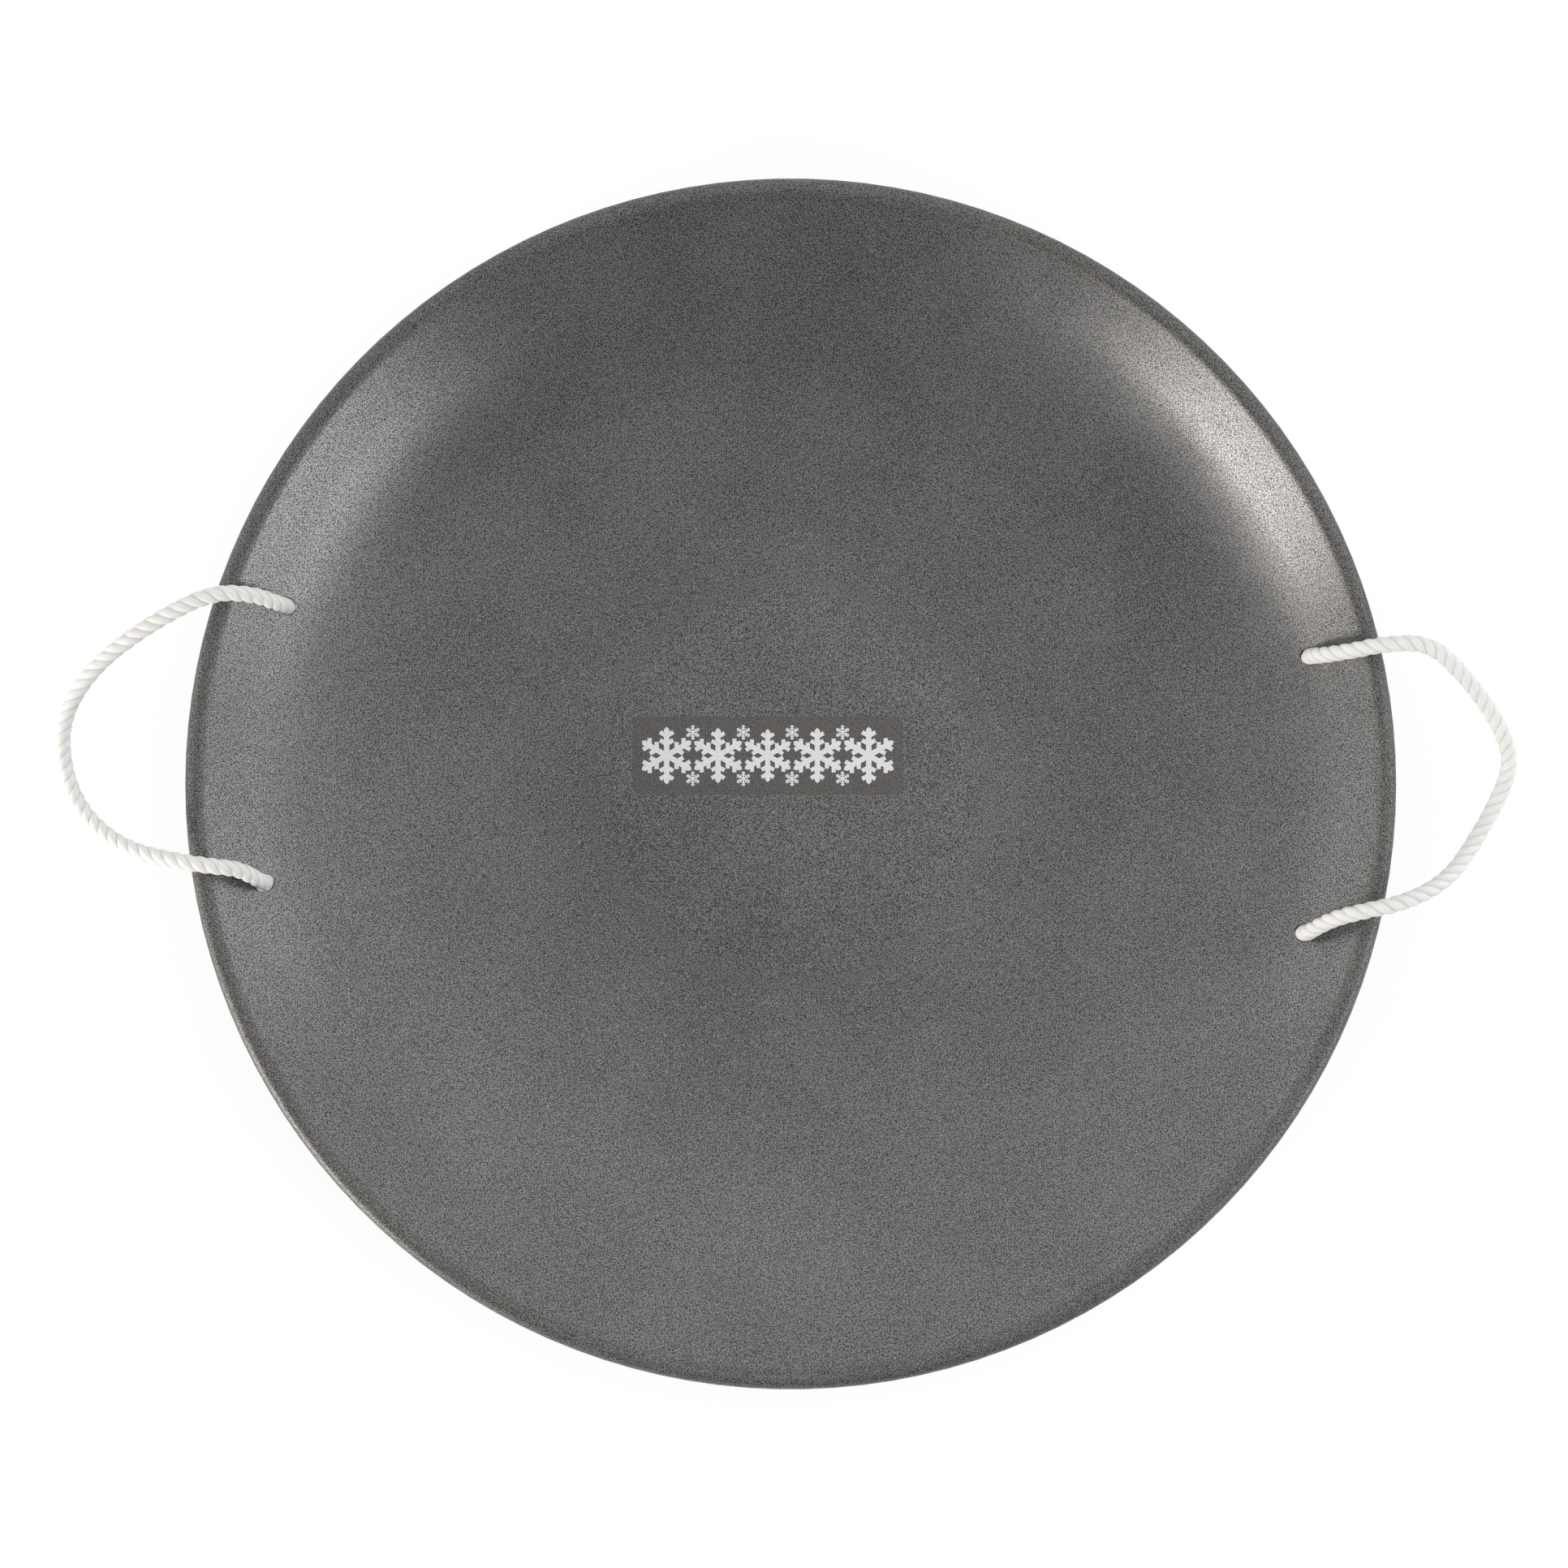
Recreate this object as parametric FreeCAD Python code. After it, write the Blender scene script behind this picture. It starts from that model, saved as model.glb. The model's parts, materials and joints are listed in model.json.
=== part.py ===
import FreeCAD, Part
import math
import os

# Steel disc pressed from one sheet: flat centre, shallow dish, rounded edge, steep wall and rolled rim
disc_diameter = 660.0
sheet_thickness = 0.9
dish_angle = 13.3
edge_radius = 190.0
wall_angle = 40.0
wall_length = 29.3
bead_radius = 5.8
bead_curl_angle = 290.0

# Rope holes, pierced straight down in two pairs, one pair for each handle
hole_rim_inset = 36.0
hole_clearance = 1.5
hole_half_angle = 15.0
handle_skew_angle = 1.6

# Rope of the handles
rope_diameter = 9.0
rope_lift = 1.8
pivot_gap = 0.3
bend_share = 0.45

# Stopper knots under the disc
knot_diameter = 30.0
knot_groove_radius = 2.5
knot_groove_tilt = 32.0
knot_seat_gap = 0.3
tail_length = 9.0

# Clear label film on the flat centre
label_length = 152.0
label_width = 44.0
label_corner_radius = 4.0
label_thickness = 0.15
label_offset_x = -13.6
label_offset_y = 15.3
label_turn = 2.8
label_margin = 3.4

# How far a cutting shape runs past what it cuts
cut_overrun = 5.0

# Rope routes from the rear hole to the front one: out from the line between the holes, along it, and up
left_route = [
    (6.5, 79, 9), (17.5, 82.5, 18.5), (38, 81, 25.5), (66, 63.5, 23.5), (100, 36.5, 14),
    (116, 5, 6), (112.5, -24, 4), (98, -46.5, 8.5), (74, -63, 18), (45, -67, 26),
    (25, -68.5, 24.5), (12.5, -69, 17.5), (5.5, -72.5, 8.5),
]
right_route = [
    (6.5, 76.5, 9), (18.5, 78.5, 18.5), (36.5, 82.5, 25.5), (61.5, 83.5, 25.5), (82, 67, 18.5),
    (102.5, 42.5, 10.5), (112, 20, 6), (104, -3, 5), (91.5, -24.5, 8.5), (76, -46, 16),
    (50.5, -57.5, 24.5), (27.5, -63.5, 25), (14, -67, 17.5), (5.5, -71.5, 8.5),
]

# Sizes worked out from those above
dish_turn = math.radians(dish_angle)
wall_turn = math.radians(wall_angle)
bead_turn = math.radians(bead_curl_angle)
skew = math.radians(handle_skew_angle)
disc_radius = disc_diameter / 2
rope_radius = rope_diameter / 2
hole_radius = (rope_diameter + hole_clearance) / 2
hole_circle_radius = disc_radius - hole_rim_inset
knot_radius = knot_diameter / 2


# The label's corners, from the middle of the disc
def label_corners():
    turn = math.radians(label_turn)
    for ahead in (label_length / 2, -label_length / 2):
        for aside in (label_width / 2, -label_width / 2):
            x = label_offset_x + ahead * math.cos(turn) - aside * math.sin(turn)
            y = label_offset_y + ahead * math.sin(turn) + aside * math.cos(turn)
            yield x, y


# The section's stretches, as distances from the axis and heights of the upper face: the flat holds the label
edge_width = edge_radius * (math.sin(wall_turn) - math.sin(dish_turn))
bead_width = bead_radius * (1 + math.sin(wall_turn))
wall_start = disc_radius - bead_width - wall_length * math.cos(wall_turn)
edge_start = wall_start - edge_width
base_flat_radius = max(math.hypot(x, y) for x, y in label_corners()) + label_margin
dish_radius = (edge_start - base_flat_radius) / math.sin(dish_turn)
dish_centre_height = sheet_thickness + dish_radius
edge_centre = edge_start - edge_radius * math.sin(dish_turn)
edge_centre_height = dish_centre_height + (edge_radius - dish_radius) * math.cos(dish_turn)
wall_start_height = edge_centre_height - edge_radius * math.cos(wall_turn)

section_moves = [
    (base_flat_radius, 0),
    (dish_radius, dish_turn),
    (edge_radius, wall_turn - dish_turn),
    (wall_length, 0),
    (bead_radius, -bead_turn),
]
up = FreeCAD.Vector(0, 0, 1)


# Height, at a distance from the axis, of the surface that lies this deep under the dish's upper face
def face_height(distance, depth):
    if distance > wall_start + depth * math.sin(wall_turn):
        rise = (distance - wall_start) * math.tan(wall_turn)
        return wall_start_height + rise - depth / math.cos(wall_turn)
    if distance > edge_start + depth * math.sin(dish_turn):
        return edge_centre_height - math.sqrt((edge_radius + depth) ** 2 - (distance - edge_centre) ** 2)
    return dish_centre_height - math.sqrt((dish_radius + depth) ** 2 - (distance - base_flat_radius) ** 2)


# Edges along lines (size, 0) and arcs (radius, turn), a distance to the left of the upper face's line
def section_edges(moves, side):
    heading = 0
    place = FreeCAD.Vector(0, 0, sheet_thickness + side)
    edges = []
    for size, turn in moves:
        if turn == 0:
            end = place + FreeCAD.Vector(math.cos(heading), 0, math.sin(heading)) * size
            edges.append(Part.LineSegment(place, end).toShape())
        else:
            reach = math.copysign(size, turn) - side
            centre = place + FreeCAD.Vector(-math.sin(heading), 0, math.cos(heading)) * reach
            halfway, heading = heading + turn / 2, heading + turn
            middle = centre + FreeCAD.Vector(math.sin(halfway), 0, -math.cos(halfway)) * reach
            end = centre + FreeCAD.Vector(math.sin(heading), 0, -math.cos(heading)) * reach
            edges.append(Part.Arc(place, middle, end).toShape())
        place = end
    return edges, place


# Place in a handle's own directions: side is 1 on the right and -1 on the left
def handle_place(side, outward, along, height):
    distance = hole_circle_radius * math.cos(math.radians(hole_half_angle)) + outward
    across = side * (distance * math.cos(skew) - along * math.sin(skew))
    return FreeCAD.Vector(across, distance * math.sin(skew) + along * math.cos(skew), height)


# Place on the axis of a rope hole: end is 1 at the rear and -1 at the front
def hole_place(side, end, height):
    half_spacing = hole_circle_radius * math.sin(math.radians(hole_half_angle))
    return handle_place(side, 0, end * half_spacing, height)


pivot_height = face_height(hole_circle_radius, -rope_radius - rope_lift)
knot_height = face_height(hole_circle_radius, sheet_thickness + knot_seat_gap + knot_radius)
knot_top_height = knot_height + math.sqrt(knot_radius ** 2 - rope_radius ** 2)
rope_end_top_height = pivot_height - rope_radius - pivot_gap


# The sheet's section turned about the axis, with the rope holes pierced
def make_shell():
    upper_edges, upper_end = section_edges(section_moves, 0)
    lower_edges, lower_end = section_edges(section_moves, -sheet_thickness)
    curl_edge = Part.LineSegment(upper_end, lower_end).toShape()
    middle = FreeCAD.Vector(0, 0, 0)
    axis_edge = Part.LineSegment(middle, up * sheet_thickness).toShape()
    edges = upper_edges + lower_edges + [curl_edge, axis_edge]
    section = Part.Face(Part.Wire(Part.sortEdges(edges)[0]))
    shell = section.revolve(middle, up, 360)
    drill_length = face_height(disc_radius, 0) + cut_overrun
    for side in (1, -1):
        for end in (1, -1):
            drill = Part.makeCylinder(hole_radius, drill_length, hole_place(side, end, -cut_overrun), up)
            shell = shell.cut(drill)
    return shell


# A thin rectangle with rounded corners, stuck on the flat
def make_label():
    corner = FreeCAD.Vector(-label_length / 2, -label_width / 2, 0)
    label = Part.makeBox(label_length, label_width, label_thickness, corner)
    upright_edges = [edge for edge in label.Edges if edge.Vertexes[0].Z != edge.Vertexes[1].Z]
    label = label.makeFillet(label_corner_radius, upright_edges)
    middle = FreeCAD.Vector(label_offset_x, label_offset_y, sheet_thickness)
    label.Placement = FreeCAD.Placement(middle, FreeCAD.Rotation(up, label_turn))
    return label


# Straight runs joined by tangent arcs, each as large as its two runs allow
def rope_line(points):
    place = points[0]
    edges = []
    radii = []
    for before, corner, after in zip(points, points[1:], points[2:]):
        back = (before - corner).normalize()
        ahead = (after - corner).normalize()
        half_turn = (math.pi - back.getAngle(ahead)) / 2
        trim = bend_share * min((before - corner).Length, (after - corner).Length)
        radius = trim / math.tan(half_turn)
        inward = (back + ahead).normalize()
        middle = corner + inward * (radius / math.cos(half_turn) - radius)
        edges.append(Part.LineSegment(place, corner + back * trim).toShape())
        edges.append(Part.Arc(corner + back * trim, middle, corner + ahead * trim).toShape())
        place = corner + ahead * trim
        radii.append(round(radius, 1))
    edges.append(Part.LineSegment(place, points[-1]).toShape())
    return Part.Wire(edges), radii


# A handle's free rope, with round ends that turn over the holes
def make_loop(name, side, route):
    points = [hole_place(side, 1, pivot_height)]
    points += [handle_place(side, out, along, pivot_height + rise) for out, along, rise in route]
    points += [hole_place(side, -1, pivot_height)]
    line, radii = rope_line(points)
    first_run = (points[1] - points[0]).normalize()
    last_run = (points[-2] - points[-1]).normalize()
    ring = Part.Wire(Part.makeCircle(rope_radius, points[0], first_run))
    tube = line.makePipeShell([ring], True, False)
    section_area = math.pi * rope_radius ** 2
    print(name, "length", round(line.Length, 1), "bend radii", radii)
    print(name, "volume over section times length", round(tube.Volume / (section_area * line.Length), 4))
    rear_cap = Part.makeSphere(rope_radius, points[0], first_run, -90, 0, 360)
    front_cap = Part.makeSphere(rope_radius, points[-1], last_run, -90, 0, 360)
    return tube.fuse([rear_cap, front_cap]).removeSplitter()


# The short stretch of rope that stands in a hole, between the knot and the free rope
def make_rope_end(side, end):
    foot = hole_place(side, end, knot_top_height)
    return Part.makeCylinder(rope_radius, rope_end_top_height - knot_top_height, foot, up)


# A round knot with two crossed grooves between its turns, a flat top for the rope and a cut tail below
def make_knot():
    middle = FreeCAD.Vector(0, 0, 0)
    knot = Part.makeSphere(knot_radius, middle)
    for lean in (1, -1):
        tilt = math.radians(lean * knot_groove_tilt)
        axle = FreeCAD.Vector(math.sin(tilt), 0, math.cos(tilt))
        knot = knot.cut(Part.makeTorus(knot_radius, knot_groove_radius, middle, axle))
    above = FreeCAD.Vector(0, 0, knot_top_height - knot_height)
    knot = knot.cut(Part.makeCylinder(knot_radius, cut_overrun, above, up))
    tail_depth = knot_radius + tail_length
    return knot.fuse(Part.makeCylinder(rope_radius, tail_depth, up * -tail_depth, up))


# A copy of the knot under one hole, turned to face out from the disc's axis
def place_knot(knot, side, end):
    middle = hole_place(side, end, knot_height)
    facing = math.degrees(math.atan2(middle.y, middle.x))
    placed_knot = knot.copy()
    placed_knot.Placement = FreeCAD.Placement(middle, FreeCAD.Rotation(up, facing))
    return placed_knot


nodes = {"saucer_shell": make_shell(), "label_film": make_label()}
knot = make_knot()
for side_name, side, route in (("left", -1, left_route), ("right", 1, right_route)):
    loop_name = side_name + "_rope_loop"
    nodes[loop_name] = make_loop(loop_name, side, route)
    for end_name, end in (("rear", 1), ("front", -1)):
        nodes[side_name + "_" + end_name + "_rope_end"] = make_rope_end(side, end)
        nodes[side_name + "_" + end_name + "_knot"] = place_knot(knot, side, end)
    pivots_middle = handle_place(side, 0, 0, pivot_height)
    print(side_name, "handle turns about", [round(value, 3) for value in pivots_middle])

os.makedirs("parts", exist_ok=True)
for name, shape in nodes.items():
    print(name, "valid", shape.isValid(), "solids", len(shape.Solids), "volume", round(shape.Volume, 2))
    shape.exportStep("parts/" + name + ".step")
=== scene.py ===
import json
import math
import bmesh
import bpy
import numpy as np
from mathutils import Matrix, Vector


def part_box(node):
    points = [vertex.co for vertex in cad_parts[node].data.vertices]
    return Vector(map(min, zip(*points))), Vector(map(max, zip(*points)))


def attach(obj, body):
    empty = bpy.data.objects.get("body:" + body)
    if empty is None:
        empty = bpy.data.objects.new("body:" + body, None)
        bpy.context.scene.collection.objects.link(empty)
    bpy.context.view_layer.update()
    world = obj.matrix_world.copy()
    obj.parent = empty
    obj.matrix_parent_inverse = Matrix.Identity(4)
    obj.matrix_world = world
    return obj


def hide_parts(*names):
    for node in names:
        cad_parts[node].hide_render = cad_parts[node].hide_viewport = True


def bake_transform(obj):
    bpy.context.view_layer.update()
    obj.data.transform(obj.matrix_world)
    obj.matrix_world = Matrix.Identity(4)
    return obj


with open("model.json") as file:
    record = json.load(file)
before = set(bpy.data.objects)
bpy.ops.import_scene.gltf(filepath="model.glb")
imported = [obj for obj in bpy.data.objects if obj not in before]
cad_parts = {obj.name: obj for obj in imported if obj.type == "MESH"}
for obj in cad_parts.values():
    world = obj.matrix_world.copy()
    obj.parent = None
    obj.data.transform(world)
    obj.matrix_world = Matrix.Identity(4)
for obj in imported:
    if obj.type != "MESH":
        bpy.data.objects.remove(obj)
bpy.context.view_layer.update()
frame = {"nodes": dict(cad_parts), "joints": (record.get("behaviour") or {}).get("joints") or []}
joints = {joint["name"]: joint for joint in frame["joints"]}
up = Vector((0, 0, 1))
labelTurn = math.radians(2.8)  # the label lies askew on the disc, and level in the picture
print("frame loaded,", len(frame["nodes"]), "nodes")


def linkObject(name, data):
    made = bpy.data.objects.new(name, data)
    bpy.context.scene.collection.objects.link(made)
    return made


def meshObject(name, shape, material):
    mesh = bpy.data.meshes.new(name)
    shape.to_mesh(mesh)
    shape.free()
    mesh.materials.append(material)
    return linkObject(name, mesh)


# a node with its settings, and its inputs set to a value or linked to a socket
def addNode(tree, kind, inputs=None, **settings):
    node = tree.nodes.new(kind)
    for key, value in settings.items():
        setattr(node, key, value)
    for key, value in (inputs or {}).items():
        if isinstance(value, bpy.types.NodeSocket):
            tree.links.new(value, node.inputs[key])
        else:
            node.inputs[key].default_value = value
    return node


def math2(tree, operation, first, second=0.0):
    return addNode(tree, "ShaderNodeMath", {0: first, 1: second}, operation=operation).outputs[0]


# 0 to 1 as the value goes from low to high, eased at both ends
def ease(tree, value, low, high):
    inputs = {"Value": value, "From Min": low, "From Max": high}
    return addNode(tree, "ShaderNodeMapRange", inputs, interpolation_type="SMOOTHSTEP").outputs[0]


# low to high as the value goes from 0 to 1
def stretch(tree, value, low, high):
    inputs = {"Value": value, "To Min": low, "To Max": high}
    return addNode(tree, "ShaderNodeMapRange", inputs).outputs[0]


def mixColour(tree, amount, first, second, blend="MIX"):
    inputs = {"Factor": amount, 6: first, 7: second}
    return addNode(tree, "ShaderNodeMix", inputs, data_type="RGBA", blend_type=blend).outputs[2]


def newMaterial(name):
    material = bpy.data.materials.new(name)
    material.use_nodes = True
    tree = material.node_tree
    return material, tree, tree.nodes["Principled BSDF"]


def newGroup(name, inputs, outputs):
    group = bpy.data.node_groups.new(name, "ShaderNodeTree")
    for socket, kind in inputs.items():
        group.interface.new_socket(socket, in_out="INPUT", socket_type=kind)
    for socket, kind in outputs.items():
        group.interface.new_socket(socket, in_out="OUTPUT", socket_type=kind)
    return group, addNode(group, "NodeGroupInput").outputs, addNode(group, "NodeGroupOutput").inputs


def placeGroup(tree, group, inputs):
    return addNode(tree, "ShaderNodeGroup", inputs, node_tree=group).outputs


# fine leathery grain: a close maze of ridges, with small dark pits at an even spacing,
# each with a pale lip
pebble = {
    "pitCells": 0.40, "randomness": 0.85, "pit": (0.34, 0.18), "pitStrength": (0.25, 1.0),
    "pitDepth": 1.6, "lip": (0.30, 0.40, 0.60), "lipGaps": (0.38, 0.58),
    "hollow": (0.46, 0.36), "ridge": (0.53, 0.63), "detail": 0.0,
}


def makePebbleGroup():
    value = "NodeSocketFloat"
    group, given, result = newGroup(
        "pebbleGrain", {"Vector": "NodeSocketVector", "Scale": value, "Pitted": value},
        {"Height": value, "Pits": value, "Hollows": value, "Ridges": value})
    inputs = {"Vector": given["Vector"], "Scale": given["Scale"], "Detail": pebble["detail"]}
    noise = addNode(group, "ShaderNodeTexNoise", inputs).outputs[0]
    spread = math2(group, "MULTIPLY", given["Scale"], pebble["pitCells"])
    inputs = {"Vector": given["Vector"], "Scale": spread, "Randomness": pebble["randomness"]}
    voronoi = addNode(group, "ShaderNodeTexVoronoi", inputs, voronoi_dimensions="2D").outputs
    cells = voronoi["Distance"]
    chance = addNode(group, "ShaderNodeSeparateXYZ", {0: voronoi["Color"]}).outputs[0]
    strength = stretch(group, chance, *pebble["pitStrength"])
    strength = math2(group, "MULTIPLY", strength, given["Pitted"])
    pits = math2(group, "MULTIPLY", ease(group, cells, *pebble["pit"]), strength)
    inner, crest, outer = pebble["lip"]
    rise, fall = ease(group, cells, inner, crest), ease(group, cells, outer, crest)
    lips = math2(group, "MULTIPLY", rise, fall)
    lips = math2(group, "MULTIPLY", lips, ease(group, noise, *pebble["lipGaps"]))
    lips = math2(group, "MULTIPLY", lips, given["Pitted"])
    hollows = ease(group, noise, *pebble["hollow"])
    ridges = math2(group, "MAXIMUM", ease(group, noise, *pebble["ridge"]), lips)
    maze = math2(group, "SUBTRACT", ridges, hollows)
    depth = math2(group, "MULTIPLY", pits, pebble["pitDepth"])
    group.links.new(math2(group, "SUBTRACT", maze, depth), result["Height"])
    group.links.new(pits, result["Pits"])
    group.links.new(hollows, result["Hollows"])
    group.links.new(ridges, result["Ridges"])
    return group


# soft cloudy change, for the tone of the coat, the print and the rope,
# and for the sheen of the coat and the film
cloud = {"detail": 2.0, "range": (0.32, 0.68)}


def makeCloudGroup():
    value = "NodeSocketFloat"
    group, given, result = newGroup(
        "slowClouds", {"Vector": "NodeSocketVector", "Scale": value}, {"Clouds": value})
    inputs = {"Vector": given["Vector"], "Scale": given["Scale"], "Detail": cloud["detail"]}
    noise = addNode(group, "ShaderNodeTexNoise", inputs).outputs[0]
    group.links.new(ease(group, noise, *cloud["range"]), result["Clouds"])
    return group


pebbleGroup = makePebbleGroup()
cloudGroup = makeCloudGroup()

# textured dark grey coat on the steel, darker and duller on the rolled rim; painted shade in the
# crease inside it
coat = {
    "ground": (0.157, 0.155, 0.152, 1), "shade": (0.104, 0.1025, 0.101, 1),
    "hollow": (0.060, 0.0593, 0.0582, 1), "ridge": (0.264, 0.2606, 0.2562, 1),
    "pit": (0.009, 0.009, 0.009, 1), "metal": 0.45, "scale": 1800.0, "clouds": 14.0,
    "roughness": (0.28, 0.31), "relief": 0.000012,
    # the rim tone darkens the rolled rim's own browner coat, and its ramp just inside the rim is
    # painted shade along the crease between wall and rim
    "rim": (0.3170, 0.3205), "rimToneAndCreaseShade": (0.85, 0.838, 0.815, 1), "rimRoughness": 0.48,
    "pitted": (0.3290, 0.3275),  # no pits where the rim turns down
}


# lays the grain's hollows, ridges and pits over a ground colour
def grainTone(tree, grain, colours, ground):
    tone = ground
    for mask, colour in (("Hollows", "hollow"), ("Ridges", "ridge"), ("Pits", "pit")):
        tone = mixColour(tree, grain[mask], tone, colours[colour])
    return tone


def makeCoat():
    material, tree, shader = newMaterial("texturedCoat")
    place = addNode(tree, "ShaderNodeTexCoord").outputs["Object"]
    clouds = placeGroup(tree, cloudGroup, {"Vector": place, "Scale": coat["clouds"]})["Clouds"]
    level = addNode(tree, "ShaderNodeVectorMath", {0: place, 1: (1, 1, 0)}, operation="MULTIPLY")
    length = addNode(tree, "ShaderNodeVectorMath", {0: level.outputs[0]}, operation="LENGTH")
    reach = length.outputs["Value"]
    rim = ease(tree, reach, *coat["rim"])
    pitted = ease(tree, reach, *coat["pitted"])
    grain = placeGroup(tree, pebbleGroup, {"Vector": place, "Scale": coat["scale"], "Pitted": pitted})
    tone = grainTone(tree, grain, coat, mixColour(tree, clouds, coat["shade"], coat["ground"]))
    # darker rim coat, with painted shade in the crease where the wall meets the rim
    rimDulledAndCreaseShaded = mixColour(tree, rim, tone, coat["rimToneAndCreaseShade"], "MULTIPLY")
    rough = stretch(tree, clouds, *coat["roughness"])
    rough = math2(tree, "MAXIMUM", rough, math2(tree, "MULTIPLY", rim, coat["rimRoughness"]))
    bump = addNode(tree, "ShaderNodeBump", {"Height": grain["Height"], "Distance": coat["relief"]})
    tree.links.new(rimDulledAndCreaseShaded, shader.inputs["Base Color"])
    tree.links.new(rough, shader.inputs["Roughness"])
    tree.links.new(bump.outputs[0], shader.inputs["Normal"])
    shader.inputs["Metallic"].default_value = coat["metal"]
    return material


# clear film with the coat's grain showing faintly through
film = {
    "ground": (0.098, 0.0915, 0.086, 1), "hollow": (0.066, 0.0615, 0.0575, 1),
    "ridge": (0.142, 0.133, 0.125, 1), "pit": (0.026, 0.024, 0.0225, 1), "pitted": 1.0,
    "scale": 1800.0, "clouds": 40.0, "roughness": (0.30, 0.40), "relief": 0.00001,
}


def makeFilm():
    material, tree, shader = newMaterial("clearFilm")
    place = addNode(tree, "ShaderNodeTexCoord").outputs["Object"]
    inputs = {"Vector": place, "Scale": film["scale"], "Pitted": film["pitted"]}
    grain = placeGroup(tree, pebbleGroup, inputs)
    clouds = placeGroup(tree, cloudGroup, {"Vector": place, "Scale": film["clouds"]})["Clouds"]
    tone = grainTone(tree, grain, film, film["ground"])
    rough = stretch(tree, clouds, *film["roughness"])
    bump = addNode(tree, "ShaderNodeBump", {"Height": grain["Height"], "Distance": film["relief"]})
    tree.links.new(tone, shader.inputs["Base Color"])
    tree.links.new(rough, shader.inputs["Roughness"])
    tree.links.new(bump.outputs[0], shader.inputs["Normal"])
    return material


# white print on the film, a little thin in places
ink = {
    "full": (0.80, 0.80, 0.805, 1), "thin": (0.68, 0.68, 0.685, 1), "clouds": 900.0,
    "roughness": 0.45,
}


def makeInk():
    material, tree, shader = newMaterial("whiteInk")
    place = addNode(tree, "ShaderNodeTexCoord").outputs["Object"]
    clouds = placeGroup(tree, cloudGroup, {"Vector": place, "Scale": ink["clouds"]})["Clouds"]
    tree.links.new(mixColour(tree, clouds, ink["full"], ink["thin"]), shader.inputs["Base Color"])
    shader.inputs["Roughness"].default_value = ink["roughness"]
    return material


# rope laid up from strands that turn once in each lay
rope = {
    "diameter": 0.009, "strands": 3, "strandRadius": 0.0033, "lay": 0.0205,
    "pointsPerStrand": 14, "steps": 48, "weld": 0.000001,
}

# white yarn with grey painted shade in the grooves between the strands, and a melted end:
# its map runs along the rope in metres, then once round it
yarn = {
    "white": (0.826, 0.820, 0.792, 1), "cream": (0.763, 0.753, 0.713, 1), "creamRange": (0.35, 0.7),
    "clouds": 60.0, "threads": (110.0, 66.0, 1.0), "threadDetail": 2.0,
    "grooveShade": (0.56, 0.55, 0.52, 1), "grooveShadeRange": (0.48, 0.68), "grooveShadeAmount": 0.5, "fray": 0.3,
    "melt": (0.45, 0.38, 0.26, 1), "meltLength": 0.0022, "roughness": 0.62, "relief": 0.00012,
    "glowThrough": 0.7, "glowColour": (1.0, 0.97, 0.93), "glowDepth": 0.002,
}


def makeYarn():
    material, tree, shader = newMaterial("twistedYarn")
    coords = addNode(tree, "ShaderNodeTexCoord").outputs
    along, around, _ = addNode(tree, "ShaderNodeSeparateXYZ", {0: coords["UV"]}).outputs
    inputs = {0: coords["UV"], 1: yarn["threads"]}
    drawnOut = addNode(tree, "ShaderNodeVectorMath", inputs, operation="MULTIPLY").outputs[0]
    inputs = {"Vector": drawnOut, "Scale": 1.0, "Detail": yarn["threadDetail"]}
    threads = addNode(tree, "ShaderNodeTexNoise", inputs).outputs[0]
    inputs = {"Vector": coords["Object"], "Scale": yarn["clouds"]}
    clouds = placeGroup(tree, cloudGroup, inputs)["Clouds"]
    strand = math2(tree, "FRACT", math2(tree, "MULTIPLY", around, rope["strands"]))
    fromCrest = math2(tree, "ABSOLUTE", math2(tree, "SUBTRACT", strand, 0.5))
    frayed = math2(tree, "ADD", fromCrest, math2(tree, "MULTIPLY", threads, yarn["fray"]))
    # painted shade: the yarn turns grey towards the grooves between the strands
    grooveShade = math2(tree, "MULTIPLY", ease(tree, frayed, *yarn["grooveShadeRange"]), yarn["grooveShadeAmount"])
    creamy = math2(tree, "MULTIPLY", clouds, ease(tree, threads, *yarn["creamRange"]))
    tone = mixColour(tree, creamy, yarn["white"], yarn["cream"])
    tone = mixColour(tree, grooveShade, tone, yarn["grooveShade"])
    tone = mixColour(tree, ease(tree, along, yarn["meltLength"], 0.0), tone, yarn["melt"])
    bump = addNode(tree, "ShaderNodeBump", {"Height": threads, "Distance": yarn["relief"]})
    tree.links.new(tone, shader.inputs["Base Color"])
    tree.links.new(bump.outputs[0], shader.inputs["Normal"])
    shader.inputs["Roughness"].default_value = yarn["roughness"]
    shader.inputs["Subsurface Weight"].default_value = yarn["glowThrough"]
    shader.inputs["Subsurface Radius"].default_value = yarn["glowColour"]
    shader.inputs["Subsurface Scale"].default_value = yarn["glowDepth"]
    return material


coatMaterial = makeCoat()
filmMaterial = makeFilm()
inkMaterial = makeInk()
yarnMaterial = makeYarn()
print("materials made")

# straight above the disc, rolled so that the label lies level in the picture
viewer = {
    "height": 2.2, "roll": labelTurn, "sensor": 36.0, "frameWidth": 0.8547, "rimHeight": 0.0686,
    "discCentre": (974.3, 965.9), "imageSize": 1932,  # in pixels
}


def makeCamera():
    data = bpy.data.cameras.new("viewCamera")
    data.sensor_width = viewer["sensor"]
    data.lens = viewer["sensor"] * (viewer["height"] - viewer["rimHeight"]) / viewer["frameWidth"]
    camera = linkObject("viewCamera", data)
    half = viewer["imageSize"] / 2
    pixel = viewer["frameWidth"] / viewer["imageSize"]
    across, down = viewer["discCentre"]
    shift = Vector(((half - across) * pixel, (down - half) * pixel, viewer["height"]))
    turn = Matrix.Rotation(viewer["roll"], 4, "Z")
    camera.matrix_world = turn @ Matrix.Translation(shift)
    bpy.context.scene.camera = camera


makeCamera()


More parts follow.
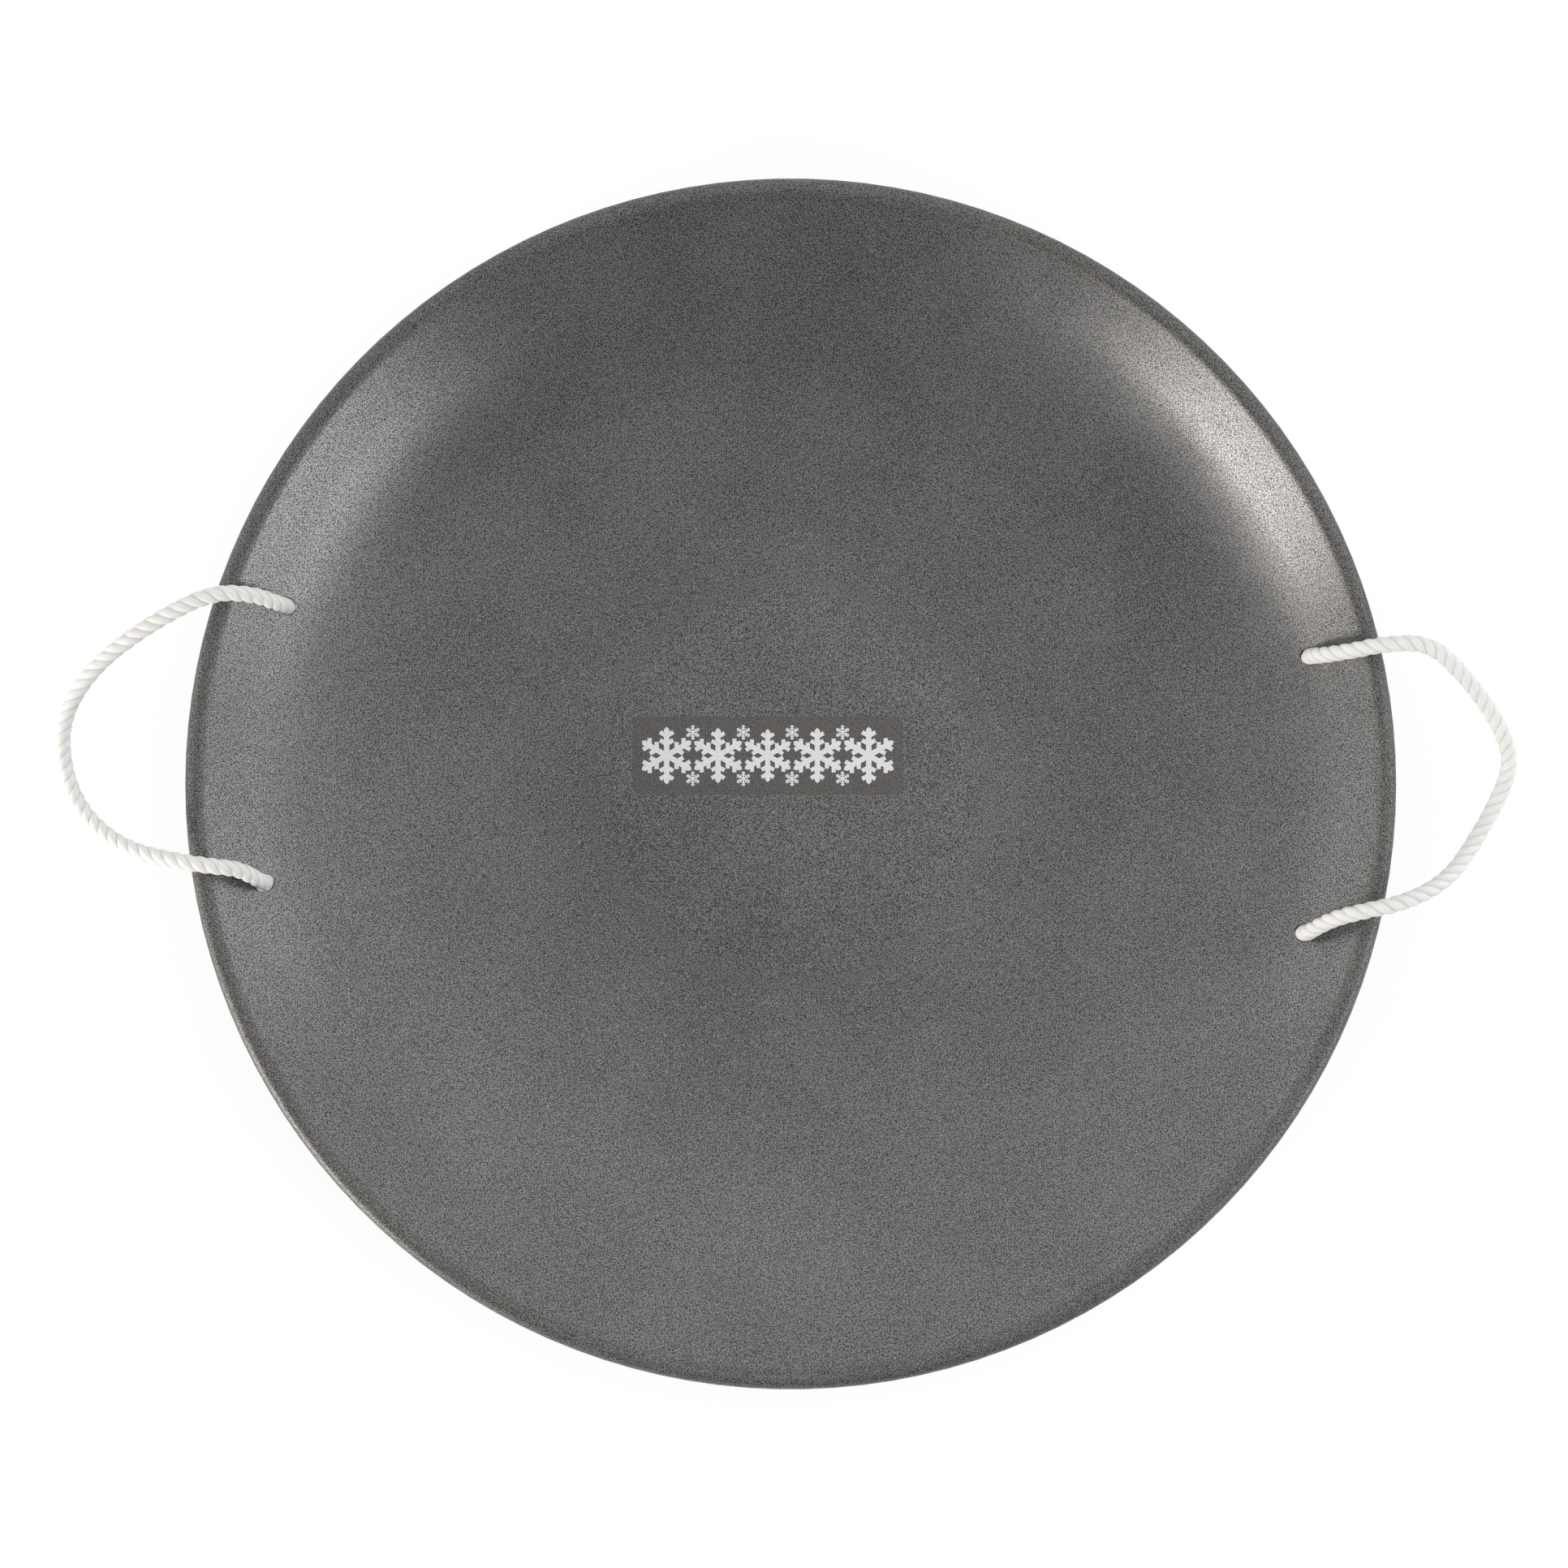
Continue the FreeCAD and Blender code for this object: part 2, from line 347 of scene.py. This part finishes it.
# outline of the rope's section, one round lobe for each strand
def makeRopeSection():
    section = bpy.data.curves.new("ropeSection", "CURVE")
    section.dimensions = "2D"
    spline = section.splines.new("POLY")
    count = rope["strands"] * rope["pointsPerStrand"]
    spline.points.add(count - 1)
    offset = rope["diameter"] / 2 - rope["strandRadius"]
    lobe = math.tau / rope["strands"]
    for step, point in enumerate(spline.points):
        angle = math.tau * step / count
        fromCrest = angle % lobe - lobe / 2
        reach = offset * math.cos(fromCrest)
        reach += math.sqrt(rope["strandRadius"] ** 2 - (offset * math.sin(fromCrest)) ** 2)
        point.co = (reach * math.cos(angle), reach * math.sin(angle), 0, 1)
    spline.use_cyclic_u = True
    return linkObject("ropeSection", section)


ropeSection = makeRopeSection()


def evaluatedMesh(made):
    bpy.context.view_layer.update()
    return bpy.data.meshes.new_from_object(made.evaluated_get(bpy.context.evaluated_depsgraph_get()))


# the strands turn with the line as they go, once in each lay; gives the rope and the line it follows
def sweepRope(name, places, radii=None):
    line = bpy.data.curves.new(name + "Line", "CURVE")
    line.dimensions = "3D"
    spline = line.splines.new("NURBS")
    spline.points.add(len(places) - 1)
    for index, (point, place) in enumerate(zip(spline.points, places)):
        point.co = (*place, 1)
        point.radius = radii[index] if radii else 1.0
    spline.order_u = 3
    spline.use_endpoint_u = True
    spline.resolution_u = rope["steps"]
    drawn = linkObject(name + "Line", line)
    path = [vertex.co.copy() for vertex in evaluatedMesh(drawn).vertices]
    runs = np.cumsum([0.0] + [(b - a).length for a, b in zip(path, path[1:])])
    shares = np.linspace(0, 1, len(runs))
    spans = len(places) - 2
    for index, point in enumerate(spline.points):
        share = min(max(index - 0.5, 0), spans) / spans  # where on the line this point pulls most
        point.tilt = np.interp(share, shares, runs) * math.tau / rope["lay"]
    line.bevel_mode = "OBJECT"
    line.bevel_object = ropeSection
    line.use_fill_caps = True
    mesh = evaluatedMesh(drawn)
    bpy.data.objects.remove(drawn)
    mapped = np.empty(2 * len(mesh.loops))
    layer = mesh.uv_layers[0].data
    layer.foreach_get("uv", mapped)
    mapped[0::2] = np.interp(mapped[0::2], shares, runs)
    layer.foreach_set("uv", mapped)
    shape = bmesh.new()
    shape.from_mesh(mesh)
    bmesh.ops.remove_doubles(shape, verts=shape.verts, dist=rope["weld"])
    bmesh.ops.recalc_face_normals(shape, faces=shape.faces)
    shape.to_mesh(mesh)
    shape.free()
    mesh.materials.append(yarnMaterial)
    mesh.shade_smooth()
    print(name, "length", round(runs[-1], 4), "faces", len(mesh.polygons))
    return linkObject(name, mesh), path


# rope handles: each point's distance out from the line between the holes, along it and up,
# from the rear hole to the front one
handles = {
    "left": {
        "along": 1, "length": 0.36,
        "route": [
            (0.0065, 0.078, 0.009), (0.0175, 0.0805, 0.0185), (0.037, 0.079, 0.0255),
            (0.0655, 0.0622, 0.0235), (0.0988, 0.0358, 0.014), (0.116, 0.005, 0.006),
            (0.1125, -0.024, 0.004), (0.0992, -0.0470, 0.0085), (0.074, -0.063, 0.018),
            (0.045, -0.067, 0.026), (0.025, -0.0685, 0.0245), (0.0125, -0.069, 0.0175),
            (0.0055, -0.0725, 0.0085),
        ],
    },
    "right": {
        "along": -1, "length": 0.35,
        "route": [
            (0.0065, 0.0765, 0.009), (0.0185, 0.0785, 0.0185), (0.036, 0.0825, 0.0255),
            (0.060, 0.0835, 0.0255), (0.080, 0.067, 0.0185), (0.1005, 0.0425, 0.0105),
            (0.110, 0.020, 0.006), (0.1014, -0.003, 0.005), (0.0895, -0.024, 0.0085),
            (0.074, -0.045, 0.016), (0.0508, -0.0570, 0.0245), (0.027, -0.0625, 0.025),
            (0.014, -0.0665, 0.0175), (0.0055, -0.0715, 0.0085),
        ],
    },
}


def holePlace(node, height):
    low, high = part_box(node)
    return Vector(((low.x + high.x) / 2, (low.y + high.y) / 2, height))


# overhand knot pulled tight: each round shortens the line and pushes apart what touches
knot = {
    "samples": 90, "halfRange": 2.2, "start": 0.007, "halfSpan": 0.036, "rounds": 700,
    "pull": 0.35, "push": 0.8, "squeeze": 0.80, "touchRun": 1.57,
    "tailEnd": -0.0255, "top": 0.0165, "every": 3, "tipRadii": (0.68, 0.93, 1.0), "below": 0.0097,
}


def tightenKnot():
    count = knot["samples"]
    t = np.linspace(-knot["halfRange"], knot["halfRange"], count)
    # a loose overhand knot, as polynomials
    line = knot["start"] * np.stack([t ** 3 - 3 * t, t ** 4 - 4 * t ** 2 + 2, t ** 5 / 5 - 2 * t], 1)
    line[0] = (0, 0, -knot["halfSpan"])
    line[-1] = (0, 0, knot["halfSpan"])
    order = np.arange(count)
    stepsApart = np.abs(order[:, None] - order[None])
    room = rope["diameter"] * knot["squeeze"]
    for _ in range(knot["rounds"]):
        line[1:-1] += knot["pull"] * ((line[:-2] + line[2:]) / 2 - line[1:-1])
        step = np.linalg.norm(np.diff(line, axis=0), axis=1).mean()
        between = line[:, None] - line[None]
        gap = np.linalg.norm(between, axis=2) + 1e-9  # never zero
        away = stepsApart * step > knot["touchRun"] * rope["diameter"]
        overlap = np.where(away, np.clip(room - gap, 0, None), 0)
        touching = np.maximum((overlap > 0).sum(1), 1)[:, None]
        push = (between / gap[..., None] * overlap[..., None]).sum(1) / touching
        line[1:-1] += knot["push"] * push[1:-1]
    kept = line[(line[:, 2] > knot["tailEnd"]) & (line[:, 2] < knot["top"])][::knot["every"]]
    kept[:, :2] -= kept[-1, :2]  # the rope comes in straight above
    return [Vector(place) for place in kept]


knotLine = tightenKnot()
knotRadii = list(knot["tipRadii"]) + [1.0] * (len(knotLine) - len(knot["tipRadii"]))
print("knot tightened,", len(knotLine), "points")


# a tied knot under one hole, its long side along the rim
def makeKnot(name, ropeEndNode, knotNode):
    middle = holePlace(ropeEndNode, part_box(knotNode)[1].z - knot["below"])
    facing = math.atan2(middle.y, middle.x) + math.pi / 2
    turn = Matrix.Translation(middle) @ Matrix.Rotation(facing, 4, "Z")
    made, _ = sweepRope(name, [turn @ place for place in knotLine], knotRadii)
    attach(made, "saucer")
    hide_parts(knotNode)
    return made


def makeHandle(sideName, handle):
    joint = joints[sideName + "_handle_swing"]
    pivot = Vector(joint["pos_m"])
    along = Vector(joint["axis"]) * handle["along"]
    outward = up.cross(Vector(joint["axis"]))
    ends = [sideName + "_rear_rope_end", sideName + "_front_rope_end"]
    feet = [holePlace(node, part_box(node)[0].z) for node in ends]
    pivots = [holePlace(node, pivot.z) for node in ends]
    route = [pivot + outward * out + along * aside + up * rise for out, aside, rise in handle["route"]]
    places = [feet[0], pivots[0]] + route + [pivots[1], feet[1]]
    made, path = sweepRope(sideName + "RopeHandle", places)
    for end in ("rear", "front"):
        stem = sideName + "_" + end
        name = sideName + end.capitalize() + "Knot"
        makeKnot(name, stem + "_rope_end", stem + "_knot")
    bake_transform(made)
    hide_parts(sideName + "_rope_loop", *ends)


for sideName, handle in handles.items():
    makeHandle(sideName, handle)
bpy.data.objects.remove(ropeSection)
print("rope handles made")

# snow stars printed on the label in a row, small flakes above and below the gaps
labelPrint = {
    "turn": labelTurn, "thickness": 0.00003, "gap": 0.0014,
    "radii": [0.0162, 0.0156, 0.0150, 0.0156, 0.0162], "flake": 0.0043, "flakeRise": 0.0130,
    # shares of a star's radius; a branch has its start along the arm and its length
    "halfArm": 0.095, "halfBranch": 0.074, "branches": [(0.37, 0.20), (0.65, 0.20)],
}
sixth = math.tau / 6


# a star of radius 1, arm by arm: out along one side, round the tip and back along the other
def starOutline():
    half = labelPrint["halfArm"]
    width = 2 * labelPrint["halfBranch"]
    lean = Vector((math.cos(sixth), -math.sin(sixth)))
    across = Vector((math.sin(sixth), math.cos(sixth))) * width
    side = [Vector((half / math.tan(sixth / 2), -half))]
    for start, length in labelPrint["branches"]:
        root = Vector((start, -half))
        tip = root + lean * length
        side += [root, tip, tip + across, Vector((start + width / math.sin(sixth), -half))]
    side.append(Vector((1 - half, -half)))
    arm = side + [Vector((1, 0))] + [Vector((point.x, -point.y)) for point in reversed(side[1:])]
    turns = [Matrix.Rotation(sixth * (count + 0.5), 2) for count in range(6)]
    return [turn @ point for turn in turns for point in arm]


def makeLabelPrint():
    low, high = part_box("label_film")
    middle = (low + high) / 2
    middle.z = high.z
    sheet = Matrix.Translation(middle) @ Matrix.Rotation(labelPrint["turn"], 4, "Z")
    outline = starOutline()
    halfWidths = [radius * math.cos(sixth / 2) for radius in labelPrint["radii"]]
    run = -sum(halfWidths) - labelPrint["gap"] * (len(halfWidths) - 1) / 2
    stars = []
    for radius, halfWidth in zip(labelPrint["radii"], halfWidths):
        stars.append((radius, run + halfWidth, 0))
        run += 2 * halfWidth + labelPrint["gap"]
        seam = run - labelPrint["gap"] / 2
        for side in (-1, 1):
            stars.append((labelPrint["flake"], seam, side * labelPrint["flakeRise"]))
    shape = bmesh.new()
    for radius, across, rise in stars[:-2]:  # no flakes after the last star
        place = sheet @ Matrix.Translation((across, rise, 0))
        corners = [place @ (point * radius).to_3d() for point in outline]
        base = shape.faces.new([shape.verts.new(corner) for corner in corners])
        raised = bmesh.ops.extrude_face_region(shape, geom=[base])["geom"]
        top = [piece for piece in raised if isinstance(piece, bmesh.types.BMVert)]
        bmesh.ops.translate(shape, verts=top, vec=(0, 0, labelPrint["thickness"]))
    bmesh.ops.triangulate(shape, faces=shape.faces, ngon_method="EAR_CLIP")
    bmesh.ops.recalc_face_normals(shape, faces=shape.faces)
    made = meshObject("labelPrint", shape, inkMaterial)
    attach(made, "saucer")


makeLabelPrint()


def finishNode(node, material):
    slots = frame["nodes"][node].data.materials
    slots.clear()
    slots.append(material)


finishNode("saucer_shell", coatMaterial)
finishNode("label_film", filmMaterial)
print("label and coat done")

# white floor that keeps a soft shadow, and can be seen through from below
floor = {
    "size": 30.0, "drop": 0.0004, "bounce": (0.55, 0.55, 0.55, 1),
    "shadow": (0.22, 0.22, 0.22, 1), "glow": 0.83,
}


def makeFloorMaterial():
    material, tree, _ = newMaterial("paleFloor")
    tree.nodes.clear()
    rays = addNode(tree, "ShaderNodeLightPath").outputs
    seen = math2(tree, "MAXIMUM", rays["Is Camera Ray"], rays["Is Glossy Ray"])
    seen = math2(tree, "MAXIMUM", seen, rays["Is Transmission Ray"])
    bounce = addNode(tree, "ShaderNodeBsdfDiffuse", {"Color": floor["bounce"]}).outputs[0]
    shaded = addNode(tree, "ShaderNodeBsdfDiffuse", {"Color": floor["shadow"]}).outputs[0]
    glow = addNode(tree, "ShaderNodeEmission", {"Strength": floor["glow"]}).outputs[0]
    shown = addNode(tree, "ShaderNodeAddShader", {0: shaded, 1: glow}).outputs[0]
    top = addNode(tree, "ShaderNodeMixShader", {0: seen, 1: bounce, 2: shown}).outputs[0]
    clear = addNode(tree, "ShaderNodeBsdfTransparent").outputs[0]
    under = addNode(tree, "ShaderNodeNewGeometry").outputs["Backfacing"]
    whole = addNode(tree, "ShaderNodeMixShader", {0: under, 1: top, 2: clear}).outputs[0]
    addNode(tree, "ShaderNodeOutputMaterial", {"Surface": whole})
    return material


def makeFloor():
    shape = bmesh.new()
    bmesh.ops.create_grid(shape, x_segments=1, y_segments=1, size=floor["size"] / 2)
    bmesh.ops.translate(shape, verts=shape.verts, vec=(0, 0, -floor["drop"]))
    meshObject("paleFloor", shape, makeFloorMaterial())


# soft boxes round the disc: direction in the picture, height above the horizon, and what they give
softBoxes = {
    "warmBox": {
        "azimuth": 215, "elevation": 12.5, "size": (1.05, 0.48),
        "power": 54, "colour": (1.0, 0.97, 0.94),
    },
    "coolBox": {
        "azimuth": 330, "elevation": 25, "size": (1.30, 0.50),
        "power": 19, "colour": (0.94, 0.94, 1.0),
    },
    "sideBox": {
        "azimuth": 8, "elevation": 22, "size": (1.20, 0.70),
        "power": 7.4, "colour": (0.96, 0.955, 1.0),
    },
    "overBox": {
        "azimuth": 0, "elevation": 60, "size": (2.00, 2.00),
        "power": 5.9, "colour": (1.0, 0.99, 0.97),
    },
    "edgeBox": {
        "azimuth": 172, "elevation": 18, "size": (1.20, 0.50),
        "power": 4, "colour": (1.0, 0.98, 0.96),
    },
}
boxDistance = 2.6


def pictureDirection(azimuth, elevation):
    turn = math.radians(azimuth) + viewer["roll"]
    rise = math.radians(elevation)
    return Vector((math.cos(turn) * math.cos(rise), math.sin(turn) * math.cos(rise), math.sin(rise)))


def makeSoftBox(name, box):
    data = bpy.data.lights.new(name, "AREA")
    data.shape = "RECTANGLE"
    data.size, data.size_y = box["size"]
    data.energy = box["power"]
    data.color = box["colour"]
    toward = pictureDirection(box["azimuth"], box["elevation"])
    facing = toward.to_track_quat("Z", "Y").to_matrix().to_4x4()
    lamp = linkObject(name, data)
    lamp.matrix_world = Matrix.Translation(toward * boxDistance) @ facing
    lamp.visible_camera = False


# the room: light beyond the top of the picture, dark before its foot
room = {
    "azimuth": 90, "rear": (1.08, 1.08, 1.08, 1), "front": (0.19, 0.19, 0.19, 1), "fade": (-0.6, 0.6),
}


def makeWorld():
    world = bpy.data.worlds.new("studioRoom")
    world.use_nodes = True
    bpy.context.scene.world = world
    tree = world.node_tree
    direction = addNode(tree, "ShaderNodeTexCoord").outputs["Generated"]
    inputs = {0: direction, 1: pictureDirection(room["azimuth"], 0)}
    rearward = addNode(tree, "ShaderNodeVectorMath", inputs, operation="DOT_PRODUCT")
    level = ease(tree, rearward.outputs["Value"], *room["fade"])
    light = mixColour(tree, level, room["front"], room["rear"])
    tree.links.new(light, tree.nodes["Background"].inputs["Color"])


makeFloor()
for boxName, box in softBoxes.items():
    makeSoftBox(boxName, box)
makeWorld()
bpy.context.scene.view_settings.view_transform = "Standard"
print("stage and lights set")
